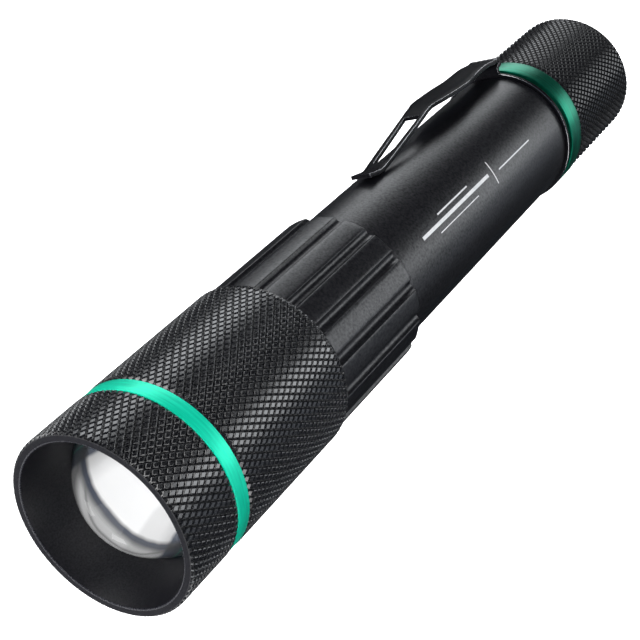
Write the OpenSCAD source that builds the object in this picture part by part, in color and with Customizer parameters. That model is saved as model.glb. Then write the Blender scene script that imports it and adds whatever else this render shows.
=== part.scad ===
// Slide-focus flashlight with a knurled head, a fluted focus sleeve, a plain
// barrel, a spring-steel pocket clip and a knurled tail cap with a push switch.
// It stands on its tail: +Z runs from the tail rim to the lens, the origin is the
// centre of the tail rim, and the pocket clip lies on the -Y side. Millimetres.

/* [Head] */
// Outside diameter over the knurled head
head_diameter = 31; // [30.8:0.1:31.6]
// Length of the knurled bezel in front of the trim ring
bezel_length = 11.6; // [11.4:0.1:13]
// Width of the bright trim ring in the head
head_trim_width = 3; // [2.5:0.1:3.2]
// Length of the knurled grip behind the trim ring
grip_length = 28.8; // [28.5:0.1:32]
// Length of the fluted focus sleeve
sleeve_length = 26; // [25.5:0.1:30]
// Outside diameter of the fluted sleeve over its lands
sleeve_diameter = 30; // [29.8:0.1:30.4]
// Number of flutes round the sleeve
flute_count = 16; // [8:1:20]
// Width of one flute
flute_width = 1.96; // [1.4:0.02:2]
// Angle that places the first flute
flute_phase = 2.6; // [0:0.1:22.5]
// How far the head slides forward from wide beam to spot
focus_travel = 9; // [4:0.5:9]

/* [Lens] */
// Diameter of the opening at the front rim
rim_opening = 28; // [27:0.1:28.4]
// Diameter of the clear opening at the lens
lens_opening = 23.1; // [23:0.1:23.6]
// Diameter of the lens over its mounting flange
lens_diameter = 24.6; // [24.4:0.1:24.7]
// Radius of the lens dome
dome_radius = 12.46; // [12.3:0.02:12.6]
// Depth of the dome's top below the front rim
dome_depth = 1.5; // [1.2:0.1:3]

/* [Barrel] */
// Outside diameter of the plain barrel
barrel_diameter = 26.8; // [26.6:0.1:27.2]
// Length of the plain barrel between clip and sleeve
barrel_length = 68.1; // [60:0.1:72]
// Diameter of the bore that holds the battery carrier
battery_bore = 22.8; // [22.4:0.1:22.9]
// Diameter of the front bore that holds the light engine
front_bore = 19.8; // [19.4:0.1:20]
// Diameter of the reduced front length that the sleeve slides on
slide_diameter = 25.2; // [25.1:0.02:25.3]
// Diameter over the tail threads
thread_diameter = 25.7; // [25.5:0.1:25.8]

/* [Tail] */
// Length of the tail cap
cap_length = 28.7; // [28:0.1:30]
// Outside diameter over the tail cap's knurl
cap_diameter = 27.9; // [27.6:0.1:28.4]
// Width of the bright collar above the cap
collar_width = 4.95; // [4:0.05:6]
// Outside diameter of the bright collar
collar_diameter = 28.2; // [28:0.1:28.6]
// Diameter of the hole for the switch boot
boot_hole = 18; // [17.4:0.1:18.4]
// How far the switch button is pressed
press_travel = 1.6; // [0.8:0.1:1.8]

/* [Clip] */
// Thickness of the clip's steel
clip_thickness = 0.75; // [0.6:0.05:0.8]
// Largest half width of the clip's plate
clip_half_width = 4.05; // [3.8:0.05:4.5]
// Distance from the axis to the clip's outer face at the root of its plate
clip_reach = 17.2; // [17:0.1:17.3]

/* [Hidden] */
$fn = 96;

// finishes
black_anodise = "#1b1c1f";
trim_green = "#1fbf92";
rubber_black = "#0e0e10";
steel = "#c9ccd1";
black_steel = "#26282b";
aluminium = "#b9bcc2";
brass = "#c9a04c";
board_green = "#1d6b3c";
plastic_black = "#222226";
clear_glass = "#dfe9f2";

// gaps and fits
over = 0.01;           // overshoot of a cut past a face
face_gap = 0.05;       // between faces that turn on each other
slide_fit = 0.06;      // radial, sleeve on barrel and cap on barrel
joint_gap = 0.15;      // visible line between cap and collar
stop_gap = 0.3;        // sleeve to barrel shoulder at rest
thread_fit = 0.05;     // radial, between screwed parts

// heights along the axis
collar_z = cap_length + joint_gap;
washer_z = collar_z + collar_width;
washer_thickness = 1.15;
band_z = washer_z + washer_thickness;
band_thickness = 0.85;
shoulder_z = band_z + band_thickness;
barrel_end_z = shoulder_z + barrel_length;
sleeve_z = barrel_end_z + stop_gap;
grip_z = sleeve_z + sleeve_length;
head_trim_z = grip_z + grip_length;
bezel_z = head_trim_z + head_trim_width;
front_z = bezel_z + bezel_length;

// head
head_r = head_diameter / 2;
sleeve_r = sleeve_diameter / 2;
edge = 0.4;                              // chamfer at the knurl's ends
land_length = 6;                         // sliding land inside the sleeve
relief_r = 13.3;                         // wide bore above the land
spigot_r = 14.3;                         // threaded spigot of the bezel
spigot_length = 10;
socket_r = spigot_r + thread_fit;
socket_z = bezel_z - spigot_length - 0.5;
bezel_oring_z = head_trim_z - 1.2;
lip_z = front_z - 8.8;                   // back of the lip that holds the lens
lip_thickness = 0.5;
seat_r = lens_diameter / 2 + 0.1;
flange_thickness = 1.95;
flange_z = lip_z - 0.05 - flange_thickness;
seal_wire = 0.5;
retainer_height = 2.5;
retainer_r = 10.6;                       // hole through the lens retainer
retainer_z = flange_z - 2 * seal_wire - retainer_height;

// barrel
barrel_r = barrel_diameter / 2;
battery_r = battery_bore / 2;
front_r = front_bore / 2;
slide_r = slide_diameter / 2;
thread_r = thread_diameter / 2;
tail_z = 14.6;                           // lower end of the barrel
partition_z = 84;                        // step between the two bores, above the cells
nose_z = front_z - 23.6;                 // upper end of the barrel
stop_z = sleeve_z + land_length + focus_travel + 0.2;
stop_height = 1.2;
stop_depth = 0.6;                        // how deep the stop ring sits in its groove
focus_oring_wire = 0.75;
focus_oring_r = relief_r - 0.13 - focus_oring_wire;
focus_oring_z = [stop_z + 4.6, stop_z + 9.1];
tail_oring_z = 26.5;
tail_oring_wire = 0.38;
tail_oring_r = thread_r - 0.01 - tail_oring_wire;

// light engine
pill_foot_z = 86;
pill_flange_r = 12;
pill_flange_height = 2.35;
post_r = 8.8;
board_z = nose_z + 7;                    // underside of the emitter board
board_r = 8.2;
board_thickness = 1.6;
board_top_z = board_z + board_thickness;
driver_r = 8.6;
driver_top_z = pill_foot_z + 2;
lead_x = 6.2;
lead_r = 0.55;
lead_hole_r = 0.9;
screw_y = 6.2;
screw_r = 0.75;

// battery carrier with three cells
carrier_r = 11;
carrier_z = 25;
carrier_base = 3;
cell_r = 5.05;
cell_pitch_r = 5.95;
cell_length = 44.5;
cell_z = carrier_z + carrier_base + 1.4;
carrier_top_z = cell_z + cell_length + 0.4;
carrier_top = 3.7;
contact_height = 0.6;
spring_tip_r = 3.6;

// tail switch
cap_r = cap_diameter / 2;
cap_wall = 3;                            // thickness of the cap's end
cap_cavity_r = 11.3;
cap_thread_z = 14;
boot_r = boot_hole / 2 - 0.7;
boot_wall = 1;
boot_recess = 0.6;                       // dome's face above the rim
boot_flange = 1.2;
module_z = cap_wall + boot_flange + 0.05;
switch_board_z = 10.4;
switch_board_thickness = 1.6;
retainer_base_z = switch_board_z + switch_board_thickness;
spring_plate = 0.5;
plunger_r = 3;
plunger_z = boot_recess + boot_wall + face_gap;
plunger_length = 5.6;

// clip: side views of the middle of the sheet, as [distance from the axis, height]
mid = clip_reach - clip_thickness / 2;
tab_half_width = 3.15;
band_r = 14.1;
washer_r = 13.5;
bend = 1.2;                              // size of the root bend under the arm
hinge_h = mid - 0.4;                     // where the arm starts to flex
hinge_z = shoulder_z - 0.95;
tab_z = shoulder_z - 0.03 - clip_thickness / 2;
tab_path = [[barrel_r, tab_z], [hinge_h - bend, tab_z], [hinge_h - bend, hinge_z - bend],
    [hinge_h, hinge_z - bend], [hinge_h, hinge_z]];
arm_path = raised([[hinge_h, 0.4], [mid + 0.1, 3.2], [mid + 0.15, 7], [mid, 11], [mid + 0.35, 17],
    [mid + 0.9, 25], [mid + 0.75, 28], [mid + 0.15, 30.8], [14.35, 45.8], [14, 47.7],
    [14.2, 49.1], [14.9, 52.2]]);
// clip: half of the plan view, as [half width, height]
arm_outline = raised([[tab_half_width, -3.8], [tab_half_width, 7.7], [3.5, 10.2],
    [clip_half_width - 0.05, 13.2], [clip_half_width, 16.2], [clip_half_width - 0.2, 20.2],
    [3.5, 24], [2.7, 26.4], [2.55, 28.2], [2.5, 36.2], [2.3, 45.2], [2.15, 47.7], [2, 53]]);
arm_window = raised([[1.7, 30.2], [1.15, 45.5]]);

// Cuts the corners of an open outline, n times over
function smooth(p, n = 2) = n == 0 ? p : smooth(concat([p[0]],
    [for (i = [0:len(p) - 2], t = [0.25, 0.75]) p[i] * (1 - t) + p[i + 1] * t],
    [p[len(p) - 1]]), n - 1);

// Moves outline points given above the barrel's shoulder to their place on the axis
function raised(p) = [for (q = p) [q[0], q[1] + shoulder_z]];

// Left and right halves of an outline given as [half width, height]
function mirrored(p) = concat(p, reversed([for (q = p) [-q[0], q[1]]]));

function unit(v) = v / norm(v);
function left(v) = [-v[1], v[0]];

// Direction of an open path at point i
function heading(p, i) = unit(p[min(i + 1, len(p) - 1)] - p[max(i - 1, 0)]);

function reversed(p) = [for (i = [len(p) - 1:-1:0]) p[i]];

// Outline of a sheet of thickness t that follows the path p
function sheet(p, t) = concat(
    [for (i = [0:len(p) - 1]) p[i] + left(heading(p, i)) * t / 2],
    reversed([for (i = [0:len(p) - 1]) p[i] - left(heading(p, i)) * t / 2]));

module disc(r, z0, z1) {
    translate([0, 0, z0]) cylinder(r = r, h = z1 - z0);
}

module ring(r_out, r_in, z0, z1) {
    difference() {
        disc(r_out, z0, z1);
        disc(r_in, z0 - over, z1 + over);
    }
}

// Groove of the given width round a cylinder of radius r, down to radius floor_r
module groove(r, floor_r, z, width) {
    ring(r + 1, floor_r, z - width / 2, z + width / 2);
}

module torus(r, wire, z) {
    translate([0, 0, z]) rotate_extrude() translate([r, 0]) circle(r = wire, $fn = 32);
}

// Turned outer body with a chamfer at each end
module turned(r, z0, z1, c0, c1) {
    rotate_extrude() polygon([[0, z0], [r - c0, z0], [r, z0 + c0], [r, z1 - c1], [r - c1, z1],
        [0, z1]]);
}

// Spring from height z0, radius r0, to height z1, radius r1
module coil_spring(r0, r1, wire, z0, z1, turns) {
    sides = 8;
    steps = 20;
    rings = turns * steps;
    points = [for (i = [0:rings], k = [0:sides - 1])
        let (t = i / rings, a = 360 * i / steps, b = 360 * k / sides,
            r = r0 + (r1 - r0) * t + wire * cos(b),
            z = z0 + wire + (z1 - z0 - 2 * wire) * t + wire * sin(b))
        [r * cos(a), r * sin(a), z]];
    walls = [for (i = [0:rings - 1], k = [0:sides - 1])
        let (n = (k + 1) % sides)
        [i * sides + k, i * sides + n, (i + 1) * sides + n, (i + 1) * sides + k]];
    ends = [[for (k = [sides - 1:-1:0]) k], [for (k = [0:sides - 1]) rings * sides + k]];
    polyhedron(points = points, faces = concat([for (f = concat(walls, ends)) reversed(f)]),
        convexity = 10);
}

// Two slots for a pin spanner, outwards from radius r
module spanner_notches(r, z0, z1) {
    width = 2;
    for (a = [0, 180]) rotate(a) translate([r, -width / 2, z0]) cube([3, width, z1 - z0]);
}

// Puts its children at +d and -d along x
module pair(d) {
    for (s = [-1, 1]) translate([s * d, 0, 0]) children();
}

// ---- barrel and what is fixed in it ----

module barrel() {
    color(black_anodise) difference() {
        union() {
            turned(thread_r, tail_z, shoulder_z + 1, 0.4, 0);
            disc(barrel_r, shoulder_z, barrel_end_z);
            turned(slide_r, barrel_end_z - 1, nose_z, 0, 0.4);
        }
        disc(battery_r, tail_z - over, partition_z);
        disc(front_r, partition_z - over, nose_z + over);
        groove(thread_r, tail_oring_r - tail_oring_wire - 0.03, tail_oring_z, 1.1);
        groove(slide_r, slide_r - stop_depth - face_gap, stop_z + stop_height / 2,
            stop_height + 2 * face_gap);
        for (z = focus_oring_z)
            groove(slide_r, focus_oring_r - focus_oring_wire - 0.05, z, 1.8);
    }
}

module stop_ring() {
    split = 3;
    color(steel) difference() {
        ring(relief_r - 0.15, slide_r - stop_depth, stop_z, stop_z + stop_height);
        translate([0, -split / 2, stop_z - over]) cube([20, split, stop_height + 2 * over]);
    }
}

module focus_orings() {
    color(rubber_black) for (z = focus_oring_z) torus(focus_oring_r, focus_oring_wire, z);
}

module tail_oring() {
    color(rubber_black) torus(tail_oring_r, tail_oring_wire, tail_oring_z);
}

module lock_collar() {
    color(trim_green) difference() {
        turned(collar_diameter / 2, collar_z, washer_z, 0.15, 0.15);
        disc(thread_r + thread_fit, collar_z - over, washer_z + over);
    }
}

module clip_washer() {
    color(rubber_black) ring(washer_r, thread_r + thread_fit, washer_z, band_z);
}

module clip_band() {
    color(black_steel) union() {
        ring(band_r, thread_r + thread_fit, band_z, shoulder_z);
        rotate([90, 0, -90]) translate([0, 0, -tab_half_width])
            linear_extrude(2 * tab_half_width) polygon(sheet(smooth(tab_path, 3), clip_thickness));
    }
}

module led_pill() {
    hollow_r = 8;
    roof_z = nose_z + 3;
    color(aluminium) difference() {
        union() {
            disc(front_r - thread_fit, pill_foot_z, nose_z + 0.1);
            disc(pill_flange_r, nose_z + 0.05, nose_z + 0.05 + pill_flange_height);
            turned(post_r, nose_z, board_z, 0, 0.3);
        }
        disc(driver_r + 0.1, pill_foot_z - over, driver_top_z);
        disc(hollow_r, pill_foot_z, roof_z);
        pair(lead_x) disc(lead_hole_r, roof_z - over, roof_z + 10);
        rotate(90) pair(screw_y) disc(screw_r + 0.05, roof_z + 0.5, roof_z + 10);
    }
}

module led_board() {
    color(aluminium) difference() {
        disc(board_r, board_z, board_top_z);
        pair(lead_x) disc(lead_hole_r, board_z - over, board_top_z + over);
        rotate(90) pair(screw_y) disc(screw_r + 0.3, board_z - over, board_top_z + over);
    }
}

module led_board_screws() {
    head_z = board_top_z + 0.02;
    cross = [0.35, 2.4, 1];
    color(steel) rotate(90) pair(screw_y) difference() {
        union() {
            disc(screw_r, board_z - 3, head_z + 0.1);
            disc(1.7, head_z, head_z + 0.9);
        }
        for (a = [0, 90]) rotate(a) translate([0, 0, head_z + 0.9]) cube(cross, center = true);
    }
}

module led_emitter() {
    side = 5;
    base = 0.8;
    dome = 2;
    color("#e8d36a") union() {
        translate([-side / 2, -side / 2, board_top_z]) cube([side, side, base]);
        intersection() {
            translate([0, 0, board_top_z + base]) sphere(r = dome, $fn = 48);
            disc(side, board_top_z + base - 0.1, board_top_z + base + dome);
        }
    }
}

module led_leads() {
    color("#b3261e") pair(lead_x) disc(lead_r, driver_top_z + 0.1, board_top_z);
}

module driver_board() {
    // each chip is [x, y, width, depth, height]
    chips = [[-2.5, -2, 5, 4, 2.2], [-1.8, 3.4, 3.6, 2, 1.1], [-1.4, -5.6, 2.8, 1.6, 0.9]];
    color(board_green) disc(driver_r, driver_top_z - board_thickness, driver_top_z);
    color(plastic_black) for (c = chips) translate([c[0], c[1], driver_top_z])
        cube([c[2], c[3], c[4]]);
}

module front_spring() {
    color(brass) coil_spring(spring_tip_r, 5.4, 0.45,
        carrier_top_z + carrier_top + contact_height + face_gap,
        driver_top_z - board_thickness - face_gap, 4);
}

module carrier_frame() {
    top_z = carrier_top_z;
    post_x = 9.4;
    color(plastic_black) union() {
        disc(carrier_r, carrier_z, carrier_z + carrier_base);
        disc(carrier_r, top_z, top_z + carrier_top);
        for (a = [60, 180, 300]) rotate(a) translate([post_x, 0, 0])
            disc(1.3, carrier_z + 1, top_z + 1);
    }
}

module carrier_contacts() {
    base_z = carrier_z + carrier_base;
    top_z = carrier_top_z + carrier_top;
    plate = 0.4;
    plate_r = 3.6;
    color(steel) {
        ring(4.6, 2.6, carrier_z - plate, carrier_z);
        disc(3, top_z, top_z + contact_height);
        for (a = [0, 120, 240]) rotate(a) translate([cell_pitch_r, 0, 0]) {
            disc(plate_r, base_z, base_z + plate);
            translate([0, 0, base_z + plate]) cylinder(r1 = 3, r2 = 1.6,
                h = cell_z - base_z - plate);
            disc(plate_r, carrier_top_z - plate, carrier_top_z);
        }
    }
}

module aaa_cells() {
    nub = 1;
    nub_r = 1.9;
    end_z = cell_z + cell_length;
    for (a = [0, 120, 240]) rotate(a) translate([cell_pitch_r, 0, 0]) color("#6c7076") union() {
        turned(cell_r, cell_z, end_z - nub, 0.3, 0.5);
        disc(nub_r, end_z - nub - 0.1, end_z);
    }
}

// ---- sliding head ----

module head_grip() {
    flute_r = flute_width / 2;
    flute_end = grip_z - 0.2;
    shoulder = 0.8;
    color(black_anodise) difference() {
        union() {
            turned(sleeve_r, sleeve_z, grip_z + 1, shoulder, 0);
            turned(head_r, grip_z, head_trim_z, edge, 0.2);
        }
        for (i = [0:flute_count - 1]) rotate(flute_phase + i * 360 / flute_count)
            translate([sleeve_r + 0.03, 0, sleeve_z - 1])
                cylinder(r = flute_r, h = flute_end - sleeve_z + 1);
        disc(slide_r + slide_fit, sleeve_z - over, sleeve_z + land_length + over);
        disc(relief_r, sleeve_z + land_length, socket_z + over);
        disc(socket_r, socket_z, head_trim_z + over);
    }
}

module head_trim_ring() {
    color(trim_green) difference() {
        turned(head_r - 0.1, head_trim_z, bezel_z, 0.15, 0.15);
        disc(socket_r, head_trim_z - over, bezel_z + over);
    }
}

module bezel() {
    rim_r = rim_opening / 2;
    lip_r = lens_opening / 2;
    color(black_anodise) difference() {
        union() {
            turned(head_r, bezel_z, front_z, 0.2, 0.3);
            turned(spigot_r, bezel_z - spigot_length, bezel_z + 1, 0.4, 0);
        }
        translate([0, 0, lip_z + lip_thickness])
            cylinder(r1 = lip_r, r2 = rim_r, h = front_z - lip_z - lip_thickness + over);
        disc(lip_r, lip_z - over, lip_z + lip_thickness + over);
        disc(seat_r, bezel_z - spigot_length - over, lip_z);
        groove(spigot_r, spigot_r - 0.8, bezel_oring_z, 1);
    }
}

module bezel_oring() {
    wire = 0.38;
    color(rubber_black) torus(spigot_r - 0.02 - wire, wire, bezel_oring_z);
}

module lens() {
    dome_top = front_z - dome_depth;
    color(clear_glass, 0.5) union() {
        disc(lens_diameter / 2, flange_z, flange_z + flange_thickness);
        intersection() {
            translate([0, 0, dome_top - dome_radius]) sphere(r = dome_radius);
            disc(lens_diameter / 2, flange_z + flange_thickness / 2, front_z);
            disc(lens_opening / 2 - 0.15, flange_z, front_z);
        }
    }
}

module lens_seal() {
    color(rubber_black) torus(11.6, seal_wire, flange_z - seal_wire);
}

module lens_retainer() {
    color(black_anodise) difference() {
        ring(seat_r - thread_fit, retainer_r, retainer_z, retainer_z + retainer_height);
        spanner_notches(retainer_r - 0.2, retainer_z - over, retainer_z + 1);
    }
}

// ---- tail cap and switch ----

module spring_washer() {
    z = retainer_base_z + face_gap;
    color(brass) ring(7.6, 2, z, z + spring_plate);
}

module tail_spring() {
    color(brass) coil_spring(5.6, spring_tip_r, 0.5,
        retainer_base_z + spring_plate + 2 * face_gap, carrier_z - 0.4 - face_gap, 5);
}

module tail_cap() {
    color(black_anodise) difference() {
        turned(cap_r, 0, cap_length, 1, 0.3);
        disc(boot_hole / 2, -over, cap_wall + over);
        translate([0, 0, -over]) cylinder(r1 = boot_hole / 2 + 0.6, r2 = boot_hole / 2, h = 0.6);
        disc(cap_cavity_r, cap_wall, cap_thread_z + over);
        disc(thread_r + thread_fit, cap_thread_z, cap_length + over);
    }
}

module switch_boot() {
    crown = 1;
    color(rubber_black) difference() {
        union() {
            turned(boot_r, boot_recess, cap_wall + 0.1, crown, 0);
            disc(cap_cavity_r - 0.2, cap_wall + 0.02, cap_wall + boot_flange);
        }
        disc(boot_r - boot_wall, boot_recess + boot_wall, cap_wall + boot_flange + over);
    }
}

module switch_spacer() {
    color(plastic_black) ring(cap_cavity_r - 0.1, 8, module_z, switch_board_z);
}

module switch_housing() {
    stroke_z = plunger_z + plunger_length + press_travel + boot_recess;
    color("#d8d8d2") difference() {
        disc(7.2, module_z + 0.2, switch_board_z);
        disc(plunger_r + 0.1, module_z, stroke_z);
    }
}

module switch_board() {
    color(board_green) disc(cap_cavity_r - 0.1, switch_board_z, retainer_base_z);
}

module switch_retainer() {
    top_z = cap_thread_z;
    hole_r = 8.4;
    color(aluminium) difference() {
        ring(cap_cavity_r - thread_fit, hole_r, retainer_base_z, top_z);
        spanner_notches(hole_r + 0.8, top_z - 1, top_z + over);
    }
}

module switch_plunger() {
    color("#d8d8d2") turned(plunger_r, plunger_z, plunger_z + plunger_length, 0.4, 0.2);
}

// ---- pocket clip ----

module clip_arm() {
    root = [[hinge_h, hinge_z + face_gap]];
    side = smooth(concat(root, arm_path), 3);
    color(black_steel) intersection() {
        rotate([90, 0, -90]) translate([0, 0, -10]) linear_extrude(20)
            polygon(sheet(side, clip_thickness));
        translate([0, -10, 0]) rotate([90, 0, 0]) linear_extrude(10) difference() {
            polygon(mirrored(smooth(arm_outline, 2)));
            polygon(mirrored(arm_window));
        }
    }
}

barrel();
stop_ring();
focus_orings();
tail_oring();
lock_collar();
clip_washer();
clip_band();
led_pill();
led_board();
led_board_screws();
led_emitter();
led_leads();
driver_board();
front_spring();
carrier_frame();
carrier_contacts();
aaa_cells();
head_grip();
head_trim_ring();
bezel();
bezel_oring();
lens();
lens_seal();
lens_retainer();
spring_washer();
tail_spring();
tail_cap();
switch_boot();
switch_spacer();
switch_housing();
switch_board();
switch_retainer();
switch_plunger();
clip_arm();
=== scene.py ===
import math

import bmesh
import bpy
import numpy as np
from mathutils import Matrix, Vector


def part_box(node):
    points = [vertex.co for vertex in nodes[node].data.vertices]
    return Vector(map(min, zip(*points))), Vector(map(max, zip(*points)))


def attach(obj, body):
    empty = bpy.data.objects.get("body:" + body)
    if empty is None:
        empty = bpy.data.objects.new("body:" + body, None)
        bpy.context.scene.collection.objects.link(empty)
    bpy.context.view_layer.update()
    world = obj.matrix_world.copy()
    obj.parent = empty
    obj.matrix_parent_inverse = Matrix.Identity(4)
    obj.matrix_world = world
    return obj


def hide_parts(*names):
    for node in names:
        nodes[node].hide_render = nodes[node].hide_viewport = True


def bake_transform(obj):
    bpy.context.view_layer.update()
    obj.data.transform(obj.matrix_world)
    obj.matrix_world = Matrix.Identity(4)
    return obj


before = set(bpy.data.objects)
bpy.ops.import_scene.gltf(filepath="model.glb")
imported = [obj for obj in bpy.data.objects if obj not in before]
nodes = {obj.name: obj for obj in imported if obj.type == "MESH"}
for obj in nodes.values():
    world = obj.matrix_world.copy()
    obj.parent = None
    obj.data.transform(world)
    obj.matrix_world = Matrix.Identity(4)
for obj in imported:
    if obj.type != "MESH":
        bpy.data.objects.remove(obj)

MM = 0.001
TAU = 2 * math.pi
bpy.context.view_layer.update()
scene = bpy.context.scene


def span(node):
    """Lowest and highest z of a CAD node, in millimetres."""
    lo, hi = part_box(node)
    return lo.z / MM, hi.z / MM


def outer(node):
    """Largest radius of a turned CAD node, in millimetres."""
    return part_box(node)[1].x / MM


# ---------------------------------------------------------------- camera and stage

cam_data = bpy.data.cameras.new("camera")
cam_data.lens = 82.14
cam_data.sensor_width = 36.0
cam_data.clip_start = 0.01
cam_data.clip_end = 20.0
camera = bpy.data.objects.new("camera", cam_data)
scene.collection.objects.link(camera)
right = Vector((-0.8009, 0.3325, -0.4980))
up = Vector((-0.0644, -0.8746, -0.4804))
back = Vector((-0.5953, -0.3527, 0.7219))
camera.matrix_world = Matrix((
    (right.x, up.x, back.x, -0.1467),
    (right.y, up.y, back.y, -0.0864),
    (right.z, up.z, back.z, 0.2906),
    (0, 0, 0, 1)))
scene.camera = camera

E1 = Vector((-0.8616, -0.5075, 0.0))     # from the axis towards the camera
E2 = Vector((-0.5075, 0.8616, 0.0))


def area_light(name, location, target, size, size_y, power, color=(1, 1, 1)):
    data = bpy.data.lights.new(name, "AREA")
    data.shape = "RECTANGLE"
    data.size = size
    data.size_y = size_y
    data.energy = power
    data.color = color
    ob = bpy.data.objects.new(name, data)
    scene.collection.objects.link(ob)
    ob.location = location
    ob.rotation_mode = "QUATERNION"
    ob.rotation_quaternion = (Vector(target) - Vector(location)).to_track_quat("-Z", "Y")
    ob.visible_camera = False
    return ob


def polar(azimuth, out, z):
    """A point at an azimuth from the camera's side of the axis, in degrees."""
    a = math.radians(azimuth)
    return (E1 * math.cos(a) + E2 * math.sin(a)) * out + Vector((0, 0, z))


MID = Vector((0, 0, 0.09))
FLOOR_Z = -1.0
area_light("strip_right", polar(35, 0.50, -0.36), MID, 0.24, 0.7, 1.5, (0.94, 0.97, 1.0))
area_light("strip_left", polar(-80, 0.50, -0.36), MID, 0.30, 0.7, 1.7, (0.94, 0.97, 1.0))
area_light("card_right", polar(64, 0.50, -0.36), MID, 0.26, 0.7, 0.22, (0.80, 0.88, 1.0))
area_light("side_left", polar(-72, 0.80, 0.27), MID, 0.75, 0.28, 2.5)
area_light("side_right", polar(72, 0.80, 0.27), MID, 0.65, 0.28, 1.6)
area_light("back_right", polar(166, 0.60, 0.0), MID, 0.12, 0.9, 0.30)
area_light("back_left", polar(-166, 0.60, 0.0), MID, 0.12, 0.9, 0.30)
area_light("rim_card", (0.77, 0.46, 1.1), MID, 0.7, 0.7, 0.7)
key = area_light("key_box", polar(-8, 0.75, 0.85), MID, 0.5, 0.5, 12.5)
key.visible_glossy = False               # a soft fill for the dyed rings and the print
wash = area_light("floor_wash", polar(180, 1.1, 0.6), polar(180, 1.1, FLOOR_Z), 1.6, 1.6, 70.0)
wash.visible_glossy = False              # it whitens the floor and isn't reflected in the metal


def studio_world():
    """A dim room that is a little darker below than above."""
    w = bpy.data.worlds.new("studio")
    w.use_nodes = True
    t = w.node_tree
    tc = t.nodes.new("ShaderNodeTexCoord")
    xyz = t.nodes.new("ShaderNodeSeparateXYZ")
    t.links.new(tc.outputs["Generated"], xyz.inputs[0])
    r = t.nodes.new("ShaderNodeValToRGB")
    r.color_ramp.elements[0].position = 0.46
    r.color_ramp.elements[0].color = (0.024, 0.026, 0.032, 1)
    r.color_ramp.elements[1].position = 0.54
    r.color_ramp.elements[1].color = (0.060, 0.066, 0.082, 1)
    m = t.nodes.new("ShaderNodeMapRange")
    m.inputs["From Min"].default_value = -1.0
    t.links.new(xyz.outputs["Z"], m.inputs["Value"])
    t.links.new(m.outputs["Result"], r.inputs["Fac"])
    t.links.new(r.outputs["Color"], t.nodes["Background"].inputs["Color"])
    t.nodes["Background"].inputs["Strength"].default_value = 1.0
    return w


scene.world = studio_world()
scene.view_settings.view_transform = "Standard"


# ---------------------------------------------------------------- materials

def link(tree, a, b):
    tree.links.new(a, b)


def material(name, color, roughness=0.5, metallic=0.0, **sockets):
    m = bpy.data.materials.new(name)
    m.use_nodes = True
    bsdf = m.node_tree.nodes["Principled BSDF"]
    bsdf.inputs["Base Color"].default_value = (*color, 1)
    bsdf.inputs["Roughness"].default_value = roughness
    bsdf.inputs["Metallic"].default_value = metallic
    for key, value in sockets.items():
        bsdf.inputs[key.replace("_", " ")].default_value = value
    m.diffuse_color = (*color, 1)
    return m, m.node_tree, bsdf


def coordinates(tree, scale=(1, 1, 1)):
    tc = tree.nodes.new("ShaderNodeTexCoord")
    mp = tree.nodes.new("ShaderNodeMapping")
    mp.inputs["Scale"].default_value = scale
    link(tree, tc.outputs["Object"], mp.inputs["Vector"])
    return mp.outputs["Vector"]


def noise(tree, vector, scale, detail=2.0, rough=0.5):
    n = tree.nodes.new("ShaderNodeTexNoise")
    n.inputs["Scale"].default_value = scale
    n.inputs["Detail"].default_value = detail
    n.inputs["Roughness"].default_value = rough
    link(tree, vector, n.inputs["Vector"])
    return n.outputs["Fac"]


def ramp(tree, value, stops):
    r = tree.nodes.new("ShaderNodeValToRGB")
    cr = r.color_ramp
    while len(cr.elements) < len(stops):
        cr.elements.new(0.5)
    for e, (pos, col) in zip(cr.elements, stops):
        e.position = pos
        e.color = (*col, 1)
    link(tree, value, r.inputs["Fac"])
    return r.outputs["Color"]


def to_range(tree, value, lo, hi, from_lo=0.3, from_hi=0.7):
    r = tree.nodes.new("ShaderNodeMapRange")
    r.inputs["From Min"].default_value = from_lo
    r.inputs["From Max"].default_value = from_hi
    r.inputs["To Min"].default_value = lo
    r.inputs["To Max"].default_value = hi
    link(tree, value, r.inputs["Value"])
    return r.outputs["Result"]


def bump(tree, bsdf, height, strength, distance):
    b = tree.nodes.new("ShaderNodeBump")
    b.inputs["Strength"].default_value = strength
    b.inputs["Distance"].default_value = distance
    link(tree, height, b.inputs["Height"])
    link(tree, b.outputs["Normal"], bsdf.inputs["Normal"])


def grey(v):
    return (v, v, v)


def blasted(name, dark, light, rough, grain=3000, depth=0.00004, strength=0.6, level=0.62, ior=1.5,
            spread=0.2):
    """Bead-blasted and dyed: a fine grain in the normal, colour and gloss, and a faint drift."""
    m, t, b = material(name, dark, sum(rough) / 2, 0.0, Specular_IOR_Level=level, IOR=ior)
    v = coordinates(t)
    fine = noise(t, v, grain, 2.0, 0.6)
    broad = noise(t, v, 90, 3.0)
    mix = t.nodes.new("ShaderNodeMath")
    mix.operation = "MULTIPLY_ADD"
    mix.inputs[1].default_value = 0.3
    link(t, broad, mix.inputs[0])
    link(t, fine, mix.inputs[2])
    link(t, ramp(t, mix.outputs[0], [(0.35, dark), (0.9, light)]), b.inputs["Base Color"])
    link(t, to_range(t, fine, rough[0], rough[1]), b.inputs["Roughness"])
    link(t, to_range(t, fine, (1 - spread) * level, (1 + spread) * level), b.inputs["Specular IOR Level"])
    bump(t, b, fine, strength, depth)
    return m


def turned_metal(name, dark, light, rough, metallic=1.0):
    """Turned metal: fine lines round the axis, about 0.12 mm apart, that streak its highlights."""
    m, t, b = material(name, dark, sum(rough) / 2, metallic)
    lines = noise(t, coordinates(t, (130, 130, 1 / 0.00012 / 3)), 1.0, 3.0, 0.7)
    link(t, ramp(t, lines, [(0.3, dark), (0.7, light)]), b.inputs["Base Color"])
    link(t, to_range(t, lines, rough[0], rough[1]), b.inputs["Roughness"])
    bump(t, b, lines, 0.5, 0.000006)
    return m


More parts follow.
